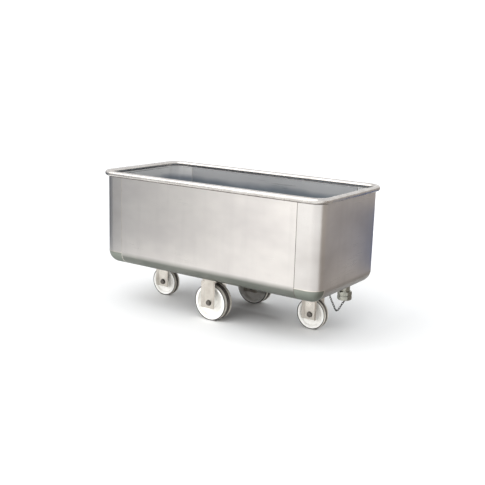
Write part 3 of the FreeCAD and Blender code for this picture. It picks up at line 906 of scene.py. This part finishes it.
@dataclass
class RimTube:
    """Tube round the top edge, with its butt welds and the fillet that holds it to the wall."""

    band_width: float = 4.0 * MM
    band_rise: float = 0.15 * MM
    fillet_width: float = 8.0 * MM
    fillet_rise: float = 1.0 * MM

    def __post_init__(self) -> None:
        """Read the tube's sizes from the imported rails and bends."""
        self.low, self.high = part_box("rim_rails")
        self.tube_radius = (self.high.z - self.low.z) / 2
        self.centre_z = (self.high.z + self.low.z) / 2

    def dress(self) -> None:
        """Give rails and bends the bright tube finish."""
        dress("rim_rails", RIM_BRIGHT)
        dress("rim_bends", RIM_BRIGHT)

    def build_butt_welds(self, shell: TankShell) -> None:
        """Ground bands where each bend is butted to its rails.

        Args:
            shell: Shell that the tube follows.
        """
        centre_x = self.high.x - self.tube_radius
        centre_y = self.high.y - self.tube_radius
        straight_x = shell.half_length - shell.radius
        straight_y = shell.half_width - shell.radius
        half = self.band_width / 2
        inner = self.tube_radius - 0.3 * MM
        outer = self.tube_radius + self.band_rise
        crown = 0.4 * MM
        outline = rounded_outline(
            [(inner, -half, 0), (outer, -half * 0.5, crown), (outer, half * 0.5, crown), (inner, half, 0)]
        )
        points: list[Vector] = []
        faces: list[tuple[int, ...]] = []
        places = [
            (Vector((i * straight_x, j * centre_y, self.centre_z)), Vector((1, 0, 0)))
            for i in (-1, 1)
            for j in (-1, 1)
        ] + [
            (Vector((i * centre_x, j * straight_y, self.centre_z)), Vector((0, 1, 0)))
            for i in (-1, 1)
            for j in (-1, 1)
        ]
        for centre, axis in places:
            more, loops = lathe(outline, centre, axis, 48)
            faces += [tuple(n + len(points) for n in loop) for loop in loops]
            points += more
        new_piece("rim_butt_welds", points, faces, WELD_GROUND, "tank", "polished_stainless", 50.0)

    def build_fillet(self, shell: TankShell) -> None:
        """Fillet bead under the tube, outside the wall.

        Args:
            shell: Shell whose top edge carries the tube.
        """
        shape = BeadShape(
            self.fillet_width, self.fillet_rise, ripple=0.12, ripple_pitch=7 * MM, step=3.5 * MM
        )
        line = SurfaceLine()
        x, y, radius = shell.half_length, shell.half_width, shell.radius
        z = shell.top - 2.6 * MM
        tilt = Vector((0, 0, -0.7))
        arc_step = shape.step
        for start, end in (((1, 0), (0, 1)), ((0, 1), (-1, 0)), ((-1, 0), (0, -1)), ((0, -1), (1, 0))):
            a, b = Vector((*start, 0)), Vector((*end, 0))
            corner = Vector((
                (start[0] + end[0]) * (x - radius),
                (start[1] + end[1]) * (y - radius),
                z,
            ))
            line.arc(corner, a, b, radius, arc_step)
            turned = Vector((-end[1], end[0], 0))
            half = (x if end[0] == 0 else y) - radius
            line.straight(corner + b * radius + turned * (2 * half), b, shape.step * 2)
        line.points = line.points[:-1]
        line.normals = [(n + tilt).normalized() for n in line.normals[:-1]]
        # the bead's nearly black colour is painted shade under the tube
        weld_piece("rim_fillet_weld", [line], shape, WELD_CREVICE, "tank", closed=True)


@dataclass
class Wheel:
    """White moulded wheel with a thin rubber tread, turned smooth with radiused corners."""

    place: Place
    hub_radius: float
    web_half: float = 6.0 * MM
    rim_depth: float = 9.0 * MM
    draft: float = 3.0 * MM
    worn_share: float = 0.42
    segments: int = 128

    def __post_init__(self) -> None:
        """Read the wheel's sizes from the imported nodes."""
        self.name = self.place.value
        low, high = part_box("tread_" + self.name)
        self.centre = (low + high) / 2
        self.radius = (high.z - low.z) / 2
        self.half = (high.y - low.y) / 2
        core_low, core_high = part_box("wheel_core_" + self.name)
        self.core_radius = (core_high.z - core_low.z) / 2
        self.hub_half = (core_high.y - core_low.y) / 2
        bearing_low, bearing_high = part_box("hub_bearing_" + self.name)
        self.bore = (bearing_high.z - bearing_low.z) / 2 + 0.05 * MM

    def mirrored(self, corners: list[tuple[float, float, float]]) -> list[tuple[float, float, float]]:
        """Add the other side of a half outline."""
        return corners + [(r, -y, arc) for r, y, arc in reversed(corners)]

    def build(self) -> None:
        """Turn the core and the tread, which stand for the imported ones."""
        rim_inner = self.core_radius - self.rim_depth
        ring = (self.hub_radius + rim_inner) / 2
        core = self.mirrored([
            (self.bore, self.hub_half, 0.6 * MM),
            (self.hub_radius - 1 * MM, self.hub_half, 1.6 * MM),
            (self.hub_radius + self.draft, self.web_half, 3.5 * MM),
            (ring - 3 * MM, self.web_half, 1 * MM),
            (ring - 1.5 * MM, self.web_half + 1.2 * MM, 0.8 * MM),
            (ring + 1.5 * MM, self.web_half + 1.2 * MM, 0.8 * MM),
            (ring + 3 * MM, self.web_half, 1 * MM),
            (rim_inner - self.draft, self.web_half, 3.5 * MM),
            (rim_inner, self.half - 0.4 * MM, 1.6 * MM),
            (self.core_radius, self.half - 0.4 * MM, 0.5 * MM),
        ])
        axis = Vector((0, 1, 0))
        made = new_piece(
            "moulded_core_" + self.name,
            *lathe(rounded_outline(core), self.centre, axis, self.segments),
            WHEEL_WHITE, "wheel_" + self.name, "white_polyolefin")
        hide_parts("wheel_core_" + self.name)
        tread = self.mirrored([
            (self.core_radius + 0.05 * MM, self.half, 0.3 * MM),
            (self.radius - 1.1 * MM, self.half, 0.5 * MM),
            (self.radius - 0.4 * MM, self.half - 1.6 * MM, 0.8 * MM),
            (self.radius, self.worn_share * self.half, 0.0),
        ])
        made = new_piece(
            "bonded_tread_" + self.name,
            *lathe(rounded_outline(tread), self.centre, axis, self.segments),
            TREAD_WORN, "wheel_" + self.name, "grey_tread")
        self.paint_tread(made.data)
        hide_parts("tread_" + self.name)
        dress("hub_bearing_" + self.name, NYLON_GREY)


    def paint_tread(self, mesh: bpy.types.Mesh) -> None:
        """Give the tread's shoulders and its bonded edges finishes of their own.

        Args:
            mesh: Turned tread.
        """
        mesh.materials.append(TREAD_SHOULDER.material())
        mesh.materials.append(TREAD_EDGE.material())
        for face in mesh.polygons:
            share = abs(face.center.y - self.centre.y) / self.half
            if share > 0.95:
                face.material_index = 2
            elif share > self.worn_share:
                face.material_index = 1


@dataclass
class Caster:
    """What every caster has: pad, nuts, axle and wheel, with the pad's weld and the bolt's flanges."""

    place: Place
    fork_body: str
    hub_radius: float
    flange_radius: float = 12.5 * MM
    flange_thickness: float = 1.3 * MM

    def __post_init__(self) -> None:
        """Keep the place's name."""
        self.name = self.place.value

    def dress(self) -> None:
        """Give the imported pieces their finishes."""
        dress("caster_pad_" + self.name, FORK_PRESSED)
        for piece in ("plate_nuts_", "axle_bolt_", "axle_nut_", "axle_sleeve_"):
            dress(piece + self.name, FASTENER_PLAIN)

    def build_pad_weld(self) -> None:
        """Fillet bead round the pad, against the tank's underside."""
        low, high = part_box("caster_pad_" + self.name)
        shape = BeadShape(4.5 * MM, 1.0 * MM, ripple=0.14, ripple_pitch=6 * MM, step=2.5 * MM)
        line = SurfaceLine()
        down = Vector((0, 0, -1))
        ring = [(low.x, low.y), (high.x, low.y), (high.x, high.y), (low.x, high.y), (low.x, low.y)]
        outs = [Vector((0, -1, 0)), Vector((1, 0, 0)), Vector((0, 1, 0)), Vector((-1, 0, 0))]
        line.straight(Vector((*ring[0], high.z)), (outs[0] + down).normalized(), shape.step)
        for corner, out in zip(ring[1:], outs):
            line.straight(Vector((*corner, high.z)), (out + down).normalized(), shape.step)
        line.points = line.points[:-1]
        line.normals = line.normals[:-1]
        weld_piece("pad_weld_" + self.name, [line], shape, WELD_GROUND, "tank", closed=True)

    def build_flanges(self) -> None:
        """Round flange at the foot of the bolt's head and of its nut, against the legs."""
        bolt_low, bolt_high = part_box("axle_bolt_" + self.name)
        nut_low, nut_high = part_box("axle_nut_" + self.name)
        middle = (nut_low + nut_high) / 2
        wheel_low, wheel_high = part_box("tread_" + self.name)
        wheel_y = (wheel_low.y + wheel_high.y) / 2
        reach = nut_low.y - wheel_y
        t, r = self.flange_thickness, self.flange_radius
        outline = rounded_outline(
            [(0.5 * r, 0.0, 0.0), (r, 0.0, 0.0), (r - 0.2 * MM, t, 0.4 * MM), (0.5 * r, t * 1.5, 0.0)]
        )
        points: list[Vector] = []
        faces: list[tuple[int, ...]] = []
        for side in (-1, 1):
            centre = Vector((middle.x, wheel_y + side * reach, middle.z))
            more, loops = lathe(outline, centre, Vector((0, side, 0)), 40)
            faces += [tuple(n + len(points) for n in loop) for loop in loops]
            points += more
        new_piece(
            "axle_flanges_" + self.name, points, faces, FASTENER_PLAIN, self.fork_body, "stainless_fastener"
        )

    def build(self) -> None:
        """Build and dress the caster."""
        self.dress()
        self.build_pad_weld()
        self.build_flanges()
        Wheel(self.place, self.hub_radius).build()


@dataclass
class RigidCaster(Caster):
    """Caster on a yoke that doesn't swivel."""

    def dress(self) -> None:
        """Add the yoke to what every caster dresses."""
        super().dress()
        dress("rigid_yoke_" + self.name, FORK_PRESSED)


@dataclass
class SwivelCaster(Caster):
    """Caster on a fork that swivels on a ball race and kingpin."""

    def dress(self) -> None:
        """Add the fork, plate, kingpin and balls to what every caster dresses."""
        super().dress()
        dress("swivel_fork_" + self.name, FORK_PRESSED)
        dress("top_plate_" + self.name, FORK_PRESSED)
        dress("kingpin_" + self.name, FASTENER_PLAIN)
        dress("swivel_balls_" + self.name, RIM_BRIGHT)


@dataclass
class DrainFitting:
    """Drain stub, collar, cap and gasket, with the weld round the stub."""

    def dress(self) -> None:
        """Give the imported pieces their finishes."""
        for node in ("drain_spud", "drain_collar", "drain_cap"):
            dress(node, DRAIN_TURNED)
        dress("drain_gasket", SEAL_BLACK)
        for node in ("cap_eye", "cap_hook", "chain_tab"):
            dress(node, WIRE_DRAWN)

    def build_stub_weld(self) -> None:
        """Fillet bead round the stub, against the tank's underside."""
        low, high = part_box("drain_spud")
        centre = Vector(((low.x + high.x) / 2, (low.y + high.y) / 2, high.z))
        radius = (high.x - low.x) / 2
        shape = BeadShape(5.0 * MM, 1.2 * MM, ripple=0.14, ripple_pitch=6 * MM, step=2.5 * MM)
        line = SurfaceLine()
        ways = [Vector(way) for way in ((1, 0, 0), (0, 1, 0), (-1, 0, 0), (0, -1, 0), (1, 0, 0))]
        for start, end in zip(ways, ways[1:]):
            line.arc(centre, start, end, radius, shape.step)
        line.points = line.points[:-1]
        line.normals = [(n + Vector((0, 0, -1))).normalized() for n in line.normals[:-1]]
        weld_piece("drain_stub_weld", [line], shape, WELD_GROUND, "tank", closed=True)


@dataclass
class CapChain:
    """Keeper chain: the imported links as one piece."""

    def build(self) -> None:
        """Copy the links into a piece of their own, in place, and hide the imported ones."""
        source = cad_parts["cap_chain"]
        mesh = source.data.copy()
        mesh.name = "keeper_chain_links"
        mesh.materials.clear()
        mesh.materials.append(WIRE_DRAWN.material())
        links = bpy.data.objects.new("keeper_chain_links", mesh)
        bpy.context.scene.collection.objects.link(links)
        links.matrix_world = source.matrix_world.copy()
        hook_low, hook_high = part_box("cap_hook")
        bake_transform(links)
        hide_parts("cap_chain")


@dataclass(frozen=True)
class ReflectorCard:
    """Flat card that shows in reflections, and may also take bounced light, as a studio's flag does."""

    name: str
    corner: tuple[float, float, float]
    along: tuple[float, float, float]
    across: tuple[float, float, float]
    colour: str
    strength: float = 1.0
    takes_bounce: bool = False

    def build(self) -> None:
        """Hang the card."""
        mesh = bpy.data.meshes.new(self.name)
        corner, along, across = Vector(self.corner), Vector(self.along), Vector(self.across)
        mesh.from_pydata(
            [tuple(p) for p in (corner, corner + along, corner + along + across, corner + across)],
            [],
            [(0, 1, 2, 3)],
        )
        paint = bpy.data.materials.new(self.name + "_paint")
        paint.use_nodes = True
        shader = paint.node_tree.nodes["Principled BSDF"]
        shader.inputs["Base Color"].default_value = (0.0, 0.0, 0.0, 1.0)
        shader.inputs["Specular IOR Level"].default_value = 0.0
        shader.inputs["Emission Color"].default_value = linear(self.colour)
        shader.inputs["Emission Strength"].default_value = self.strength
        mesh.materials.append(paint)
        card = bpy.data.objects.new(self.name, mesh)
        card.visible_camera = False
        card.visible_diffuse = self.takes_bounce
        card.visible_shadow = False
        bpy.context.scene.collection.objects.link(card)


@dataclass
class Studio:
    """Camera, pale floor, soft lights and the cards that shape the steel's reflections."""

    azimuth: float = 34.06
    elevation: float = 12.53
    roll: float = 1.74
    lens_mm: float = 60.47
    place: tuple[float, float, float] = (1.88223, -2.74034, 1.03457)
    floor_half: float = 14.0
    horizon: str = "#ffffff"
    overhead: str = "#eff1f4"
    air_strength: float = 1.1
    sun_strength: float = 1.9
    sun_angle: float = 1.5
    sun_from: tuple[float, float, float] = (-0.3, -0.9, 0.7)

    def build_camera(self) -> None:
        """Stand the camera at the front right, a little above the rim."""
        a, e, r = (math.radians(v) for v in (self.azimuth, self.elevation, self.roll))
        back = Vector((math.sin(a) * math.cos(e), -math.cos(a) * math.cos(e), math.sin(e)))
        right = Vector((math.cos(a), math.sin(a), 0))
        up = back.cross(right)
        rolled_right = right * math.cos(r) + up * math.sin(r)
        rolled_up = up * math.cos(r) - right * math.sin(r)
        data = bpy.data.cameras.new("view_camera")
        data.lens = self.lens_mm
        data.sensor_width = 36.0
        camera = bpy.data.objects.new("view_camera", data)
        turn = Matrix((rolled_right, rolled_up, back)).transposed()
        camera.matrix_world = Matrix.Translation(self.place) @ turn.to_4x4()
        bpy.context.scene.collection.objects.link(camera)
        bpy.context.scene.camera = camera

    def build_floor(self) -> None:
        """Lay the floor that the wheels stand on."""
        mesh = bpy.data.meshes.new("studio_floor")
        h = self.floor_half
        mesh.from_pydata([(-h, -h, 0), (h, -h, 0), (h, h, 0), (-h, h, 0)], [], [(0, 1, 2, 3)])
        mesh.materials.append(CoatedFloor("floor_painted_pale").material())
        floor = bpy.data.objects.new("studio_floor", mesh)
        bpy.context.scene.collection.objects.link(floor)

    def build_air(self) -> None:
        """Bright surroundings at the horizon that fall off to a cooler overhead."""
        world = bpy.data.worlds.new("studio_air")
        world.use_nodes = True
        tree = world.node_tree
        way = add_node(tree, "TexCoord").outputs["Generated"]
        up = add_node(tree, "SeparateXYZ", inputs={0: way}).outputs[2]
        share = spread(tree, up, (0.12, 0.75), (0.0, 1.0))
        colour = mix_colour(tree, share, linear(self.horizon), linear(self.overhead))
        background = tree.nodes["Background"]
        tree.links.new(colour, background.inputs["Color"])
        background.inputs["Strength"].default_value = self.air_strength
        bpy.context.scene.world = world

    def build_sun(self) -> None:
        """One very soft key from the front left, above."""
        data = bpy.data.lights.new("key_light", "SUN")
        data.energy = self.sun_strength
        data.angle = self.sun_angle
        light = bpy.data.objects.new("key_light", data)
        light.rotation_euler = Vector(self.sun_from).to_track_quat("Z", "Y").to_euler()
        bpy.context.scene.collection.objects.link(light)

    def build_cards(self) -> None:
        """Hang grey cards and a blue one beyond the right end, cool ones at the left, and dark ones below
        that paint shade under the tank.
        """
        tall = (0.0, 0.0, 0.7)
        cards = (
            ReflectorCard("card_right_back", (0.45, 0.96, 0.0), (1.0, -0.68, 0.0), tall, "#b7b2af"),
            ReflectorCard("card_right_front", (1.45, 0.28, 0.0), (0.05, -0.7, 0.0), tall, "#b6afa8"),
            ReflectorCard(
                "card_right_floor", (0.58, -0.3, 0.004), (0.9, 0.0, 0.0), (0.0, 1.3, 0.0), "#a09a95"),
            ReflectorCard("card_blue", (0.55, 0.865, 0.08), (0.24, -0.163, 0.0), (0.0, 0.0, 0.3), "#3c5c90"),
            ReflectorCard("card_left_back", (-1.5, -0.25, 0.0), (0.5, 1.2, 0.0), tall, "#414b5a"),
            ReflectorCard("card_left_front", (-0.62, -1.3, 0.0), (-0.4, 0.457, 0.0), tall, "#d8dadb"),
            ReflectorCard("card_left_side", (-1.02, -0.843, 0.0), (-0.48, 0.593, 0.0), tall, "#8b9199"),
            # painted shade: card_under and card_between are dark sheets where there is only shade; bounce
            # rays take their dark colour, darkening the underside, the back wheel and the gap over the front
            # wheel
            ReflectorCard(
                "card_under", (-0.42, -0.185, 0.1735), (0.84, 0.0, 0.0), (0.0, 0.37, 0.0), "#1d1815",
                takes_bounce=True),
            ReflectorCard(
                "card_between", (-0.15, 0.05, 0.005), (0.36, 0.0, 0.0), (0.0, 0.0, 0.165), "#1c1613",
                takes_bounce=True),
        )
        for card in cards:
            card.build()

    def build(self) -> None:
        """Build camera, floor, lights and cards."""
        self.build_camera()
        self.build_floor()
        self.build_air()
        self.build_sun()
        self.build_cards()
        bpy.context.scene.view_settings.view_transform = "Standard"


def main() -> None:
    """Build and dress every sub-assembly in order, then the studio."""
    logging.basicConfig(level=logging.INFO, format="%(name)s: %(message)s")
    shell = TankShell()
    shell.dress()
    shell.build_seams()
    LOG.info("shell dressed and seamed")
    rim = RimTube()
    rim.dress()
    rim.build_butt_welds(shell)
    rim.build_fillet(shell)
    LOG.info("rim dressed and welded")
    for place in (Place.FRONT, Place.BACK):
        RigidCaster(place, "tank", hub_radius=24 * MM).build()
        LOG.info("rigid caster %s", place.value)
    for place in (Place.LEFT, Place.RIGHT):
        SwivelCaster(place, "swivel_" + place.value, hub_radius=20 * MM).build()
        LOG.info("swivel caster %s", place.value)
    drain = DrainFitting()
    drain.dress()
    drain.build_stub_weld()
    LOG.info("drain fitting")
    CapChain().build()
    LOG.info("keeper chain")
    Studio().build()


if __name__ == "__main__":
    main()
